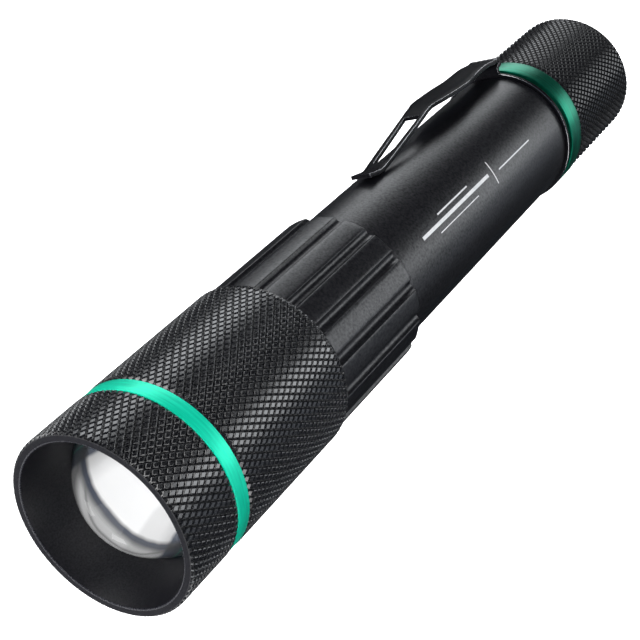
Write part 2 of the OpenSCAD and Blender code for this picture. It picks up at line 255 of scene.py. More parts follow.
def moulded(name, dark, light, rough):
    """Moulded plastic or rubber with a fine, soft grain."""
    m, t, b = material(name, dark, sum(rough) / 2)
    fine = noise(t, coordinates(t), 900, 4.0, 0.6)
    link(t, ramp(t, fine, [(0.35, dark), (0.65, light)]), b.inputs["Base Color"])
    link(t, to_range(t, fine, rough[0], rough[1]), b.inputs["Roughness"])
    bump(t, b, fine, 0.35, 0.00003)
    return m


def plated(name, dark, light, rough):
    """Plated or bare drawn metal, faintly streaked along z."""
    m, t, b = material(name, dark, sum(rough) / 2, 1.0)
    fine = noise(t, coordinates(t, (1, 1, 0.25)), 1500, 3.0, 0.6)
    link(t, ramp(t, fine, [(0.3, dark), (0.7, light)]), b.inputs["Base Color"])
    link(t, to_range(t, fine, rough[0], rough[1]), b.inputs["Roughness"])
    bump(t, b, fine, 0.2, 0.000005)
    return m


MAT = {
    "body": blasted("black_anodise_blasted", (0.003, 0.003, 0.0036), (0.007, 0.007, 0.009), (0.34, 0.41),
                    grain=2100, depth=0.00003, strength=0.4, spread=0.5),
    "knurl": blasted("black_anodise_knurled", (0.0010, 0.0010, 0.0014), (0.0030, 0.0030, 0.0040),
                     (0.22, 0.34), depth=0.000004, level=0.95, ior=1.72),
    "rim": blasted("black_anodise_turned", (0.003, 0.003, 0.004), (0.007, 0.007, 0.009),
                   (0.34, 0.46), grain=3800, depth=0.000005, strength=0.3, level=0.34),
    # a glossier, lighter copy for the rim's inner corner: a painted highlight line
    "rim_edge": blasted("black_anodise_corner_painted_glint", (0.006, 0.006, 0.008), (0.012, 0.012, 0.016),
                        (0.22, 0.32), grain=3800, depth=0.000003, strength=0.2, level=0.95, ior=1.9),
    "knurl_tail": blasted("black_anodise_tail", (0.0010, 0.0010, 0.0014), (0.0030, 0.0030, 0.0040),
                          (0.23, 0.34), depth=0.000004, level=0.34),
    "green": turned_metal("green_anodise", (0.0, 0.66, 0.40), (0.01, 0.92, 0.60), (0.32, 0.48), 0.42),
    "green_tail": turned_metal("green_anodise_tail", (0.0, 0.115, 0.068), (0.006, 0.29, 0.17), (0.28, 0.42),
                               0.9),
    "clip": blasted("black_oxide_steel", (0.002, 0.002, 0.003), (0.005, 0.005, 0.006), (0.28, 0.38),
                    grain=4200, depth=0.000004, strength=0.3, level=0.07),
    # bright bare metal for the clip's bevels: a painted highlight along its edges
    "clip_edge": plated("clip_edge_painted_glint", (0.50, 0.50, 0.52), (0.72, 0.72, 0.74), (0.20, 0.30)),
    "rubber": moulded("black_rubber", (0.010, 0.010, 0.011), (0.020, 0.020, 0.021), (0.55, 0.75)),
    "aluminium": turned_metal("machined_aluminium", (0.50, 0.51, 0.53), (0.70, 0.71, 0.73), (0.22, 0.38)),
    "steel": plated("nickel_plate", (0.45, 0.45, 0.44), (0.62, 0.61, 0.59), (0.16, 0.30)),
    "brass": plated("spring_brass", (0.60, 0.40, 0.14), (0.78, 0.56, 0.24), (0.18, 0.32)),
    "laminate": moulded("solder_mask", (0.010, 0.11, 0.045), (0.02, 0.18, 0.08), (0.25, 0.40)),
    "white_mask": moulded("white_solder_mask", (0.78, 0.78, 0.77), (0.88, 0.88, 0.87), (0.25, 0.40)),
    "black_plastic": moulded("black_plastic", (0.018, 0.018, 0.019), (0.030, 0.030, 0.032), (0.35, 0.50)),
    "white_plastic": moulded("white_plastic", (0.62, 0.62, 0.59), (0.72, 0.72, 0.69), (0.22, 0.36)),
    "jacket": moulded("cell_jacket", (0.22, 0.24, 0.27), (0.30, 0.32, 0.35), (0.20, 0.32)),
    "phosphor": moulded("phosphor", (0.80, 0.62, 0.12), (0.90, 0.74, 0.22), (0.30, 0.42)),
    "lead": moulded("lead_insulation", (0.42, 0.02, 0.015), (0.52, 0.035, 0.025), (0.35, 0.50)),
    "print": moulded("white_print", (0.60, 0.61, 0.63), (0.74, 0.74, 0.75), (0.35, 0.50)),
}

glass, gt, gb = material("lens_acrylic", (0.98, 0.99, 1.0), 0.03, 0.0, Transmission_Weight=1.0, IOR=1.49)
gb.inputs["Coat Weight"].default_value = 0.3
link(gt, to_range(gt, noise(gt, coordinates(gt), 600, 3.0), 0.01, 0.03), gb.inputs["Roughness"])
MAT["glass"] = glass


def lens_back():
    """Back of the lens, painted to glow: a pale disc, grey crescents and reflections painted into its
    emission stand in for the light refracted through the dome, laid out for the camera's side.
    """
    m, t, b = material("lens_back_painted_glow", (0.5, 0.5, 0.5), 0.5)
    v = coordinates(t, (1000, 1000, 0))

    def math_node(operation, a, k):
        n = t.nodes.new("ShaderNodeMath")
        n.operation = operation
        link(t, a, n.inputs[0])
        if isinstance(k, float):
            n.inputs[1].default_value = k
        else:
            link(t, k, n.inputs[1])
        return n.outputs[0]

    def vector_node(operation, other, output):
        n = t.nodes.new("ShaderNodeVectorMath")
        n.operation = operation
        link(t, v, n.inputs[0])
        n.inputs[1].default_value = tuple(other)
        return n.outputs[output]

    def distance(x, y):
        return vector_node("DISTANCE", E1 * x + E2 * y, "Value")

    drift = math_node("MULTIPLY", noise(t, coordinates(t), 190, 3.0), 1.1)
    reach = math_node("ADD", distance(4.0, 0.0), drift)
    rings = ramp(t, to_range(t, reach, 0, 1, 0, 14), [
        (0.0, grey(0.90)), (0.45, grey(0.96)), (0.665, grey(0.98)), (0.69, grey(0.34)),
        (0.703, (0.012, 0.022, 0.052)), (0.735, (0.022, 0.030, 0.055)), (0.76, grey(0.24)),
        (0.79, grey(0.54)), (0.86, grey(0.60)), (0.93, grey(0.42)), (1.0, grey(0.40))])
    # a second, tighter painted arc in the outer crescent
    shade = ramp(t, to_range(t, math_node("ADD", distance(-1.5, 0.7), drift), 0, 1, 5.6, 8.2), [
        (0.0, grey(0.0)), (0.20, grey(0.05)), (0.30, grey(0.62)), (0.38, grey(0.10)), (0.50, grey(0.0)),
        (0.62, grey(0.35)), (0.78, grey(0.72)), (1.0, grey(0.55))])
    mask = to_range(t, reach, 0, 1, 10.4, 10.9)
    keep = math_node("SUBTRACT", math_node("MULTIPLY", shade, mask), 1.0)
    keep = math_node("ABSOLUTE", keep, 0.0)
    # painted shade: darker towards one side
    along = to_range(t, math_node("ADD", vector_node("DOT_PRODUCT", E2, "Value"), drift), 0, 1, -6.5, 7.5)
    keep = math_node("MULTIPLY", keep, ramp(t, along, [
        (0.0, grey(0.50)), (0.16, grey(0.66)), (0.27, grey(0.95)), (0.68, grey(1.0)), (0.71, grey(0.80)),
        (1.0, grey(0.74))]))
    # painted reflections: dark blue, then a green glint, at both ends of the disc
    across = math_node("ABSOLUTE", vector_node("DOT_PRODUCT", E2, "Value"), 0.0)
    ends = ramp(t, to_range(t, math_node("ADD", across, drift), 0, 1, 5.2, 8.6), [
        (0.0, grey(1.0)), (0.36, grey(0.75)), (0.48, (0.035, 0.05, 0.09)), (0.86, (0.03, 0.05, 0.09)),
        (0.93, (0.02, 0.50, 0.36)), (0.97, (0.02, 0.10, 0.10)), (1.0, (0.02, 0.05, 0.06))])
    arcs = t.nodes.new("ShaderNodeVectorMath")
    arcs.operation = "SCALE"
    link(t, rings, arcs.inputs[0])
    link(t, keep, arcs.inputs["Scale"])
    mix = t.nodes.new("ShaderNodeVectorMath")
    mix.operation = "MULTIPLY"
    link(t, arcs.outputs["Vector"], mix.inputs[0])
    link(t, ends, mix.inputs[1])
    # painted light: the back glows with these painted arcs and reflections, though it is no lamp
    b.inputs["Base Color"].default_value = (0.02, 0.02, 0.02, 1)
    link(t, mix.outputs["Vector"], b.inputs["Emission Color"])
    b.inputs["Emission Strength"].default_value = 0.95
    return m


MAT["lens_back"] = lens_back()

BY_NODE = {
    "barrel": "body", "stop_ring": "steel", "focus_orings": "rubber", "tail_oring": "rubber",
    "lock_collar": "green", "clip_washer": "rubber", "clip_band": "clip", "led_pill": "aluminium",
    "led_board": "white_mask", "led_board_screws": "steel", "led_emitter": "phosphor",
    "led_leads": "lead", "driver_board": "laminate", "front_spring": "brass",
    "carrier_frame": "black_plastic", "carrier_contacts": "steel", "aaa_cells": "jacket",
    "head_grip": "body", "head_trim_ring": "green", "bezel": "rim", "bezel_oring": "rubber",
    "lens": "glass", "lens_seal": "rubber", "lens_retainer": "rim", "spring_washer": "brass",
    "tail_spring": "brass", "tail_cap": "knurl", "switch_boot": "rubber",
    "switch_spacer": "black_plastic", "switch_housing": "white_plastic",
    "switch_board": "laminate", "switch_retainer": "aluminium", "switch_plunger": "white_plastic",
    "clip_arm": "clip",
}
for name, key in BY_NODE.items():
    ob = nodes[name]
    ob.data.materials.clear()
    ob.data.materials.append(MAT[key])


# ---------------------------------------------------------------- mesh helpers

def inside(me, radius, mat):
    """Gives the faces that lie wholly within a radius, in millimetres, a second material."""
    me.materials.append(MAT[mat])
    limit = (radius * MM) ** 2
    for p in me.polygons:
        if all(me.vertices[v].co.x ** 2 + me.vertices[v].co.y ** 2 < limit for v in p.vertices):
            p.material_index = 1


def joined(name, meshes):
    """One mesh from several."""
    bm = bmesh.new()
    for me in meshes:
        bm.from_mesh(me)
        bpy.data.meshes.remove(me)
    me = bpy.data.meshes.new(name)
    bm.to_mesh(me)
    bm.free()
    return me


def add_object(name, me, body, mat, angle=35, replaces=()):
    me.validate()
    me.update()
    me.shade_smooth()
    me.set_sharp_from_angle(angle=math.radians(angle))
    ob = bpy.data.objects.new(name, me)
    scene.collection.objects.link(ob)
    me.materials.append(MAT[mat])
    if body:
        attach(ob, body)
    if replaces:
        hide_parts(*replaces)
    return ob


def mesh_from(name, verts_mm, faces):
    me = bpy.data.meshes.new(name)
    me.from_pydata([(x * MM, y * MM, z * MM) for x, y, z in verts_mm], [], faces)
    return me


def to_bmesh(me):
    """A bmesh of a mesh, which is removed."""
    bm = bmesh.new()
    bm.from_mesh(me)
    bpy.data.meshes.remove(me)
    return bm


def from_bmesh(name, bm):
    """A mesh of a bmesh, with its faces turned outwards."""
    bmesh.ops.recalc_face_normals(bm, faces=bm.faces)
    me = bpy.data.meshes.new(name)
    bm.to_mesh(me)
    bm.free()
    return me


def outward_mesh(name, verts_mm, faces):
    return from_bmesh(name, to_bmesh(mesh_from(name, verts_mm, faces)))


def fillet(points, closed=True, steps=4):
    """Rounds the corners of an (r, z) outline. A point's third value is its radius."""
    out = []
    n = len(points)
    for i, p in enumerate(points):
        radius = p[2] if len(p) > 2 else 0.0
        if radius <= 0 or (not closed and i in (0, n - 1)):
            out.append((p[0], p[1]))
            continue
        here = np.array(p[:2], float)
        a = np.array(points[i - 1][:2], float) - here
        b = np.array(points[(i + 1) % n][:2], float) - here
        la, lb = np.linalg.norm(a), np.linalg.norm(b)
        a, b = a / la, b / lb
        half = math.acos(max(-1.0, min(1.0, float(a @ b)))) / 2
        cut = min(radius / math.tan(half), 0.45 * la, 0.45 * lb)
        r = cut * math.tan(half)
        centre = here + (a + b) / np.linalg.norm(a + b) * (r / math.sin(half))
        start, end = here + a * cut - centre, here + b * cut - centre
        a0, a1 = math.atan2(start[1], start[0]), math.atan2(end[1], end[0])
        turn = (a1 - a0 + math.pi) % TAU - math.pi
        for k in range(steps + 1):
            t = a0 + turn * k / steps
            out.append((centre[0] + r * math.cos(t), centre[1] + r * math.sin(t)))
    return out


def lathe(name, profile, segs=192, closed=True):
    """Revolves an (r, z) outline. An open outline starts or ends on the axis."""
    verts, rings, faces = [], [], []
    for r, z in profile:
        if r < 1e-6:
            rings.append([len(verts)] * segs)
            verts.append((0, 0, z))
        else:
            rings.append([len(verts) + k for k in range(segs)])
            verts += [(r * math.cos(TAU * k / segs), r * math.sin(TAU * k / segs), z) for k in range(segs)]
    pairs = list(zip(rings, rings[1:]))
    if closed:
        pairs.append((rings[-1], rings[0]))
    for a, b in pairs:
        for k in range(segs):
            n = (k + 1) % segs
            f = [a[k], a[n], b[n], b[k]]
            f = [v for i, v in enumerate(f) if v != f[i - 1]]
            if len(f) >= 3:
                faces.append(f)
    return outward_mesh(name, verts, faces)


def boundary_loops(bm):
    """Open edges of bm as two sets, the lower one first."""
    edges = [e for e in bm.edges if len(e.link_faces) == 1]
    zs = [sum(v.co.z for v in e.verts) / 2 for e in edges]
    mid = (min(zs) + max(zs)) / 2
    return [e for e, z in zip(edges, zs) if z < mid], [e for e, z in zip(edges, zs) if z >= mid]


def sweep_edge(bm, edges, profile):
    """Carries an open ring of edges along an (r, z) profile, in millimetres."""
    for r, z in profile:
        made = bmesh.ops.extrude_edge_only(bm, edges=edges)["geom"]
        for v in (g for g in made if isinstance(g, bmesh.types.BMVert)):
            a = math.atan2(v.co.y, v.co.x)
            v.co = (r * MM * math.cos(a), r * MM * math.sin(a), z * MM)
        edges = [g for g in made if isinstance(g, bmesh.types.BMEdge)
                 and all(abs(v.co.z - z * MM) < 1e-6 for v in g.verts)
                 and len(g.link_faces) == 1]
    return edges


def knurl_band(radius, z0, z1, count, pitch, depth, chamfer):
    """Open band of flat-topped diamonds: two hands of V grooves, cut square at z0 and z1."""
    stops = [0.0, 0.155, 0.215, 0.785, 0.845]      # across one tooth, from groove to groove
    level = [0.0, 0.86, 1.0, 1.0, 0.86]            # height there, from groove to crest
    t = len(stops)
    cols = t * count
    d_lo = int(math.floor(2 * z0 / pitch)) - 1
    d_hi = int(math.ceil(2 * z1 / pitch)) + 1
    a_i = np.arange(cols)
    d_i = np.arange(d_lo * t, d_hi * t + 1)
    A, D = np.meshgrid(a_i, d_i, indexing="ij")
    B = A - D
    pos = np.array(stops)
    lev = np.array(level)
    a = A // t + pos[A % t]
    b = B // t + pos[B % t]
    h = np.minimum(lev[A % t], lev[B % t])
    z = pitch * (a - b) / 2
    theta = TAU * (a + b) / 2 / count
    edge = np.minimum(z - z0, z1 - z)
    limit = radius - np.clip(chamfer - edge, 0, chamfer)
    r = np.minimum(radius - depth * (1 - h), limit)
    xyz = np.stack([r * np.cos(theta), r * np.sin(theta), z], -1).reshape(-1, 3) * MM
    rows = len(d_i)
    index = np.arange(cols * rows).reshape(cols, rows)
    nxt = np.roll(index, -1, axis=0)
    k = np.arange(1, rows - 1)
    # cell corners (A, B), (A+1, B), (A+1, B+1), (A, B+1) are columns A or A+1 at D, D+1, D, D-1
    quads = np.stack([index[:, k], nxt[:, k + 1], nxt[:, k], index[:, k - 1]], -1).reshape(-1, 4)
    me = bpy.data.meshes.new("knurl")
    me.from_pydata(xyz.tolist(), [], quads.tolist())
    bm = to_bmesh(me)
    for z_cut, normal in ((z0, -1), (z1, 1)):
        bmesh.ops.bisect_plane(bm, geom=bm.verts[:] + bm.edges[:] + bm.faces[:], dist=1e-7,
                               plane_co=(0, 0, z_cut * MM), plane_no=(0, 0, normal), clear_outer=True)
    for v in bm.verts:
        if min(abs(v.co.z - z0 * MM), abs(v.co.z - z1 * MM)) < 2e-7:
            r_now = math.hypot(v.co.x, v.co.y)
            r_max = (radius - chamfer) * MM
            if r_now > r_max:
                v.co.x *= r_max / r_now
                v.co.y *= r_max / r_now
    bmesh.ops.remove_doubles(bm, verts=[v for v in bm.verts if min(
        abs(v.co.z - z0 * MM), abs(v.co.z - z1 * MM)) < 2e-7], dist=4e-6)
    return bm


def regular_ring(bm, edges, r, z, segs=256):
    """Joins an open ring of edges to a regular circle, on a flat face, and returns the circle."""
    circle = bmesh.ops.create_circle(bm, cap_ends=False, segments=segs, radius=r * MM,
                                     matrix=Matrix.Translation((0, 0, z * MM)))["verts"]
    ring = list({e for v in circle for e in v.link_edges})
    bmesh.ops.bridge_loops(bm, edges=list(edges) + ring)
    return ring


def knurled(name, body, mat, replaces, radius, z0, z1, count, pitch, front, rear, depth=0.3, chamfer=0.25,
            extra=()):
    """A knurled sleeve: front and rear are the (r, z) profiles that carry its ends inwards."""
    bm = knurl_band(radius, z0, z1, count, pitch, depth, chamfer)
    lower, upper = boundary_loops(bm)
    ends = []
    for loop, z, profile in ((upper, z1, front), (lower, z0, rear)):
        inner = radius - depth - 0.12
        loop = sweep_edge(bm, loop, [(inner, z)])
        ring = regular_ring(bm, loop, inner - 0.05, z)
        ends.append(sweep_edge(bm, ring, profile))
    bmesh.ops.bridge_loops(bm, edges=ends[0] + ends[1])
    me = from_bmesh(name, bm)
    if extra:
        me = joined(name, [me] + extra)
    ob = add_object(name, me, body, mat, 25, replaces)
    inside(me, radius - depth - 0.1, "rim")
    return ob


# ---------------------------------------------------------------- head

BEZEL_Z0, FRONT_Z = span("head_trim_ring")[1], span("bezel")[1]
SPIGOT_Z = span("bezel")[0]
HEAD_R = outer("bezel")
TRIM_Z0 = span("head_trim_ring")[0]
SLEEVE_Z0 = span("head_grip")[0]
GRIP_Z0 = SLEEVE_Z0 + 26.0
LIP_Z = FRONT_Z - 8.8                    # narrow end of the cone inside the bezel
RIM_R, LIP_R, SEAT_R, SPIGOT_R = 14.0, 11.55, 12.4, 14.3

bezel_ob = knurled(
    "bezel_knurled", "head", "knurl", ["bezel"], HEAD_R, BEZEL_Z0, FRONT_Z, 80, 2.01,
    front=[(RIM_R + 0.26, FRONT_Z), (RIM_R + 0.08, FRONT_Z - 0.06), (RIM_R, FRONT_Z - 0.15),
           (LIP_R + 0.05, LIP_Z + 0.6), (LIP_R, LIP_Z + 0.45), (LIP_R, LIP_Z), (SEAT_R, LIP_Z),
           (SEAT_R, SPIGOT_Z)],
    rear=[(SPIGOT_R, BEZEL_Z0), (SPIGOT_R, SPIGOT_Z + 0.4), (SPIGOT_R - 0.3, SPIGOT_Z)])
bezel_ob.data.materials.append(MAT["rim_edge"])
for poly in bezel_ob.data.polygons:      # the corner inside the rim: glossier and a little lighter, a painted highlight line
    r = math.hypot(*poly.center.xy) / MM
    if poly.center.z > (FRONT_Z - 0.14) * MM and RIM_R - 0.01 < r < RIM_R + 0.25 and poly.normal.z < 0.98:
        poly.material_index = 2

knurled(
    "grip_knurled", "head", "knurl", ["head_grip"], HEAD_R, GRIP_Z0, TRIM_Z0, 80, 2.01,
    front=[(14.35, TRIM_Z0), (14.35, TRIM_Z0 - 7.4), (13.3, TRIM_Z0 - 7.5)],
    rear=[(13.3, GRIP_Z0)])


def fluted_sleeve():
    sleeve_r, flute_r, count, phase = 15.0, 0.98, 16, math.radians(2.6)
    centre_r = sleeve_r + 0.03
    half = math.acos((sleeve_r ** 2 + centre_r ** 2 - flute_r ** 2) / (2 * sleeve_r * centre_r))
    ring = []
    step = TAU / count
    for i in range(count):
        mid = phase + i * step
        for k in range(11):
            t = math.radians(-80 + 16 * k)
            x, y = centre_r - flute_r * math.cos(t), -flute_r * math.sin(t)
            ring.append((mid + math.atan2(-y, x), math.hypot(x, y)))
        ring.append((mid + half + 0.0035, sleeve_r - 0.035))
        ring.append((mid + half + 0.010, sleeve_r - 0.004))
        for k in range(1, 8):
            ring.append((mid + half + 0.010 + (step - 2 * half - 0.020) * k / 8, sleeve_r))
        ring.append((mid + step - half - 0.010, sleeve_r - 0.004))
        ring.append((mid + step - half - 0.0035, sleeve_r - 0.035))
    m = len(ring)
    end, round_r = GRIP_Z0 - 0.2, 0.75
    levels = []
    for k in range(6):
        a = math.radians(90 * k / 5)
        levels.append((SLEEVE_Z0 + round_r * (1 - math.sin(a)), sleeve_r - round_r * (1 - math.cos(a)), True))
    levels = levels[::-1]
    levels += [(z, sleeve_r + 1, True) for z in np.linspace(SLEEVE_Z0 + 2, end, 8)]
    levels += [(end + 0.001, sleeve_r, False), (GRIP_Z0 + 0.2, sleeve_r, False)]
    verts, faces = [], []
    for z, cap, fluted in levels:
        for a, r in ring:
            rr = min(r, cap) if fluted else sleeve_r
            verts.append((rr * math.cos(a), rr * math.sin(a), z))
    inner = [(13.3, GRIP_Z0 + 0.2), (13.3, SLEEVE_Z0 + 6), (12.66, SLEEVE_Z0 + 6), (12.66, SLEEVE_Z0 + 0.25),
             (12.9, SLEEVE_Z0)]
    for r, z in inner:
        for a, _ in ring:
            verts.append((r * math.cos(a), r * math.sin(a), z))
    rows = len(levels) + len(inner)
    for j in range(rows):
        for i in range(m):
            n = (i + 1) % m
            j2 = (j + 1) % rows
            faces.append((j * m + i, j * m + n, j2 * m + n, j2 * m + i))
    ob = add_object("sleeve_fluted", outward_mesh("sleeve_fluted", verts, faces), "head", "body", 40)
    return ob


fluted_sleeve()


def ring_piece(name, node, body, mat, r_out, r_in, round_r):
    z0, z1 = span(node)
    prof = fillet([(r_in, z0, 0.05), (r_out, z0, round_r), (r_out, z1, round_r), (r_in, z1, 0.05)])
    return add_object(name, lathe(name, prof, 256), body, mat, 50, [node])


ring_piece("trim_ring_head", "head_trim_ring", "head", "green", outer("head_trim_ring"), 14.35, 0.18)

# lens: dome, mounting flange and flat back
LENS_Z0, LENS_Z1 = span("lens")
dome_r = 12.46
dome_c = LENS_Z1 - dome_r
prof = [(0.0, LENS_Z1)]
a_end = math.acos((LENS_Z0 + 2.0 - dome_c) / dome_r)
for k in range(1, 41):
    a = a_end * k / 40
    if dome_r * math.sin(a) > 11.4:
        break
    prof.append((dome_r * math.sin(a), dome_c + dome_r * math.cos(a)))
prof += [(11.4, LENS_Z0 + 1.98), (12.22, LENS_Z0 + 1.95), (12.3, LENS_Z0 + 1.85), (12.3, LENS_Z0 + 0.1),
         (12.2, LENS_Z0), (0.0, LENS_Z0)]
lens_ob = add_object("lens_dome", lathe("lens_dome", prof, 192, closed=False), "head", "glass", 30, ["lens"])
# the flat back and the flange take the glowing lens_back material: painted light
lens_ob.data.materials.append(MAT["lens_back"])
for poly in lens_ob.data.polygons:
    if poly.center.z < (LENS_Z0 + 1.9) * MM:
        poly.material_index = 1


# ---------------------------------------------------------------- tail cap

PITCH = 1.25                             # tail thread, right-handed


def helix_ridge(name, r_base, r_tip, z0, z1, base, tip, steps=96):
    """A thread's ridge on a cylinder, in millimetres, that fades out at both ends."""
    count = int((z1 - z0) / PITCH * steps)
    verts, faces = [], []
    for i in range(count + 1):
        a = TAU * i / steps
        z = z0 + PITCH * i / steps
        fade = min(1.0, i / 30, (count - i) / 30)
        r = r_base + (r_tip - r_base) * fade
        for rr, dz in ((r_base, -base), (r, -tip), (r, tip), (r_base, base)):
            verts.append((rr * math.cos(a), rr * math.sin(a), z + dz))
    for i in range(count):
        j = 4 * i
        for k in range(3):
            faces.append((j + k, j + k + 1, j + k + 5, j + k + 4))
        faces.append((j + 3, j, j + 4, j + 7))
    faces += [(3, 2, 1, 0), tuple(4 * count + k for k in range(4))]
    return outward_mesh(name, verts, faces)


CAP_Z1 = span("tail_cap")[1]
CAP_R = outer("tail_cap")
knurled(
    "tail_cap_knurled", "tail_cap", "knurl_tail", ["tail_cap"], CAP_R, 0.9, CAP_Z1 - 0.05, 72, 1.93,
    front=[(13.2, CAP_Z1 - 0.02), (12.95, CAP_Z1 - 0.1), (12.9, CAP_Z1 - 0.3), (12.9, 14.0), (11.3, 14.0)],
    rear=[(13.45, 0.55), (13.15, 0.2), (12.75, 0.02), (12.5, 0.0), (9.7, 0.0), (9.45, 0.06), (9.1, 0.5),
          (9.0, 0.8), (9.0, 3.0), (11.3, 3.0)],
    extra=[helix_ridge("cap_thread", 12.92, 12.5, 15.0, 25.0, 0.40, 0.10)])
ring_piece("collar_green", "lock_collar", "barrel", "green_tail", outer("lock_collar"), 12.9, 0.2)


def switch_boot():
    prof = fillet([
        (0.0, 0.6), (8.3, 0.6, 1.1), (8.3, 3.02, 0.15), (11.1, 3.02, 0.1), (11.1, 4.2, 0.1),
        (7.3, 4.2, 0.1), (7.3, 1.6, 0.6), (0.0, 1.6)], closed=False)
    dense = []
    for (r0, z0), (r1, z1) in zip(prof, prof[1:]):
        n = max(1, int(math.hypot(r1 - r0, z1 - z0) / 0.3))
        dense += [(r0 + (r1 - r0) * k / n, z0 + (z1 - z0) * k / n) for k in range(n)]
    dense.append(prof[-1])
    # three raised rings on the face for grip
    face = [(r, z - 0.1 * max(0.0, math.cos(TAU * (r - 2.0) / 2.0)) if z < 0.61 and 1.4 < r < 6.6 else z)
            for r, z in dense]
    ob = add_object("boot_rubber", lathe("boot_rubber", face, 128, closed=False), None, "rubber", 50,
                    ["switch_boot"])
    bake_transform(ob)
    return ob


switch_boot()


# ---------------------------------------------------------------- barrel

SHOULDER_Z = span("clip_band")[1]
BARREL_TOP = SLEEVE_Z0 - 0.3
NOSE_Z = span("barrel")[1]
TAIL_Z = span("barrel")[0]
STOP_Z0, STOP_Z1 = span("stop_ring")
ORINGS = (span("focus_orings")[0] + 0.75, span("focus_orings")[1] - 0.75)


WALL_R = 13.4                            # outside of the plain barrel


def plain_barrel():
    slide = 12.6                         # where the sleeve slides on it
    prof = [(11.4, TAIL_Z, 0.1), (12.0, TAIL_Z, 0.1), (12.24, TAIL_Z + 0.25), (12.24, 25.5), (12.85, 25.6),
            (12.85, 25.95, 0.05), (12.06, 25.95, 0.05), (12.06, 27.05, 0.05), (12.85, 27.05, 0.05),
            (12.85, SHOULDER_Z), (WALL_R, SHOULDER_Z, 0.2), (WALL_R, BARREL_TOP, 0.2),
            (slide, BARREL_TOP, 0.05)]
    for z0, z1, depth in ((STOP_Z0 - 0.05, STOP_Z1 + 0.05, 0.65), (ORINGS[0] - 0.9, ORINGS[0] + 0.9, 0.98),
                          (ORINGS[1] - 0.9, ORINGS[1] + 0.9, 0.98)):
        prof += [(slide, z0, 0.08), (slide - depth, z0, 0.08), (slide - depth, z1, 0.08), (slide, z1, 0.08)]
    prof += [(slide, NOSE_Z, 0.4), (9.9, NOSE_Z, 0.1), (9.9, 84.0, 0.1), (11.4, 84.0, 0.1)]
    tube = lathe("barrel_tube", fillet(prof), 256)
    thread = helix_ridge("barrel_thread", 12.2, 12.8, TAIL_Z + 0.6, 25.4, 0.52, 0.12)
    return add_object("barrel_tube", joined("barrel_tube", [tube, thread]), "barrel", "body", 30, ["barrel"])


plain_barrel()

# rubber washer behind the clip's band
WASHER_Z0, WASHER_Z1 = span("clip_washer")
add_object("washer_black", lathe("washer_black", fillet([
    (12.9, WASHER_Z0, 0.1), (13.5, WASHER_Z0, 0.3), (13.5, WASHER_Z1, 0.3), (12.9, WASHER_Z1, 0.1)]), 192),
    "barrel", "rubber", 40, ["clip_washer"])


def printed_bar(name, z0, z1, a0, a1):
    """A strip of print on the barrel between two heights (mm) and two azimuths (degrees from E1)."""
    radius = WALL_R + 0.012
    n = 10
    m = max(2, int(abs(a1 - a0) * 2))
    verts, faces = [], []
    for i in range(n + 1):
        for j in range(m + 1):
            p = polar(a0 + (a1 - a0) * j / m, radius, z0 + (z1 - z0) * i / n)
            verts.append(tuple(p))
    for i in range(n):
        for j in range(m):
            a = i * (m + 1) + j
            faces.append((a, a + 1, a + m + 2, a + m + 1))
    return mesh_from(name, verts, faces)


bars = [printed_bar("bar", *b) for b in (
    (75.0, 87.0, 5.3, 6.6), (67.5, 94.3, 10.4, 13.2), (73.5, 89.0, 17.8, 18.6),
    (65.6, 65.9, 2.5, 22.8), (49.5, 63.5, 14.0, 15.1))]
add_object("print_bars", joined("print_bars", bars), "barrel", "print", 60)


# ---------------------------------------------------------------- pocket clip

def smooth_path(p, n):
    for _ in range(n):
        q = [p[0]]
        for a, b in zip(p, p[1:]):
            for t in (0.25, 0.75):
                q.append((a[0] * (1 - t) + b[0] * t, a[1] * (1 - t) + b[1] * t))
        p = q + [p[-1]]
    return p


def with_heights(path, extra):
    """Adds points to an [out, height] path at the given heights."""
    out = [path[0]]
    for a, b in zip(path, path[1:]):
        for z in sorted(extra):
            if a[1] + 0.02 < z < b[1] - 0.02:
                t = (z - a[1]) / (b[1] - a[1])
                out.append((a[0] + (b[0] - a[0]) * t, z))
        out.append(b)
    return out


def strip(name, path, columns, skip, thickness, bevel):
    """A bent sheet of steel. columns(z) gives x across it, skip(path, i, j) leaves out cells."""
    bm = bmesh.new()
    n = len(path)
    top, low = [], []
    for i, (h, z) in enumerate(path):
        a, b = path[max(i - 1, 0)], path[min(i + 1, n - 1)]
        d = np.array([b[0] - a[0], b[1] - a[1]])
        d /= np.linalg.norm(d)
        out = np.array([d[1], -d[0]]) * thickness / 2
        xs = columns(z)
        top.append([bm.verts.new((x * MM, -(h + out[0]) * MM, (z + out[1]) * MM)) for x in xs])
        low.append([bm.verts.new((x * MM, -(h - out[0]) * MM, (z - out[1]) * MM)) for x in xs])
    cells = [(i, j) for i in range(n - 1) for j in range(len(top[0]) - 1) if not skip(path, i, j)]
    upper = []
    for i, j in cells:
        upper.append(bm.faces.new((top[i][j], top[i][j + 1], top[i + 1][j + 1], top[i + 1][j])))
        bm.faces.new((low[i][j], low[i + 1][j], low[i + 1][j + 1], low[i][j + 1]))
    pair = {}
    for a, b in zip((v for row in top for v in row), (v for row in low for v in row)):
        pair[a] = b
    rim = [e for e in bm.edges if len(e.link_faces) == 1 and e.verts[0] in pair and e.verts[1] in pair]
    for e in rim:
        a, b = e.verts
        bm.faces.new((a, b, pair[b], pair[a]))
    bmesh.ops.recalc_face_normals(bm, faces=bm.faces)
    bm.normal_update()
    loose = [v for v in bm.verts if not v.link_faces]
    bmesh.ops.delete(bm, geom=loose, context="VERTS")
    sharp = [e for e in bm.edges if len(e.link_faces) == 2 and e.calc_face_angle(0) > math.radians(50)]
    made = bmesh.ops.bevel(bm, geom=sharp, offset=bevel * MM, segments=2, profile=0.6, affect="EDGES",
                           clamp_overlap=True)
    # the bevels take the second material; on the clip that is bright metal, a painted highlight along the
    # edges
    for f in made["faces"]:
        f.material_index = 1
    return from_bmesh(name, bm)


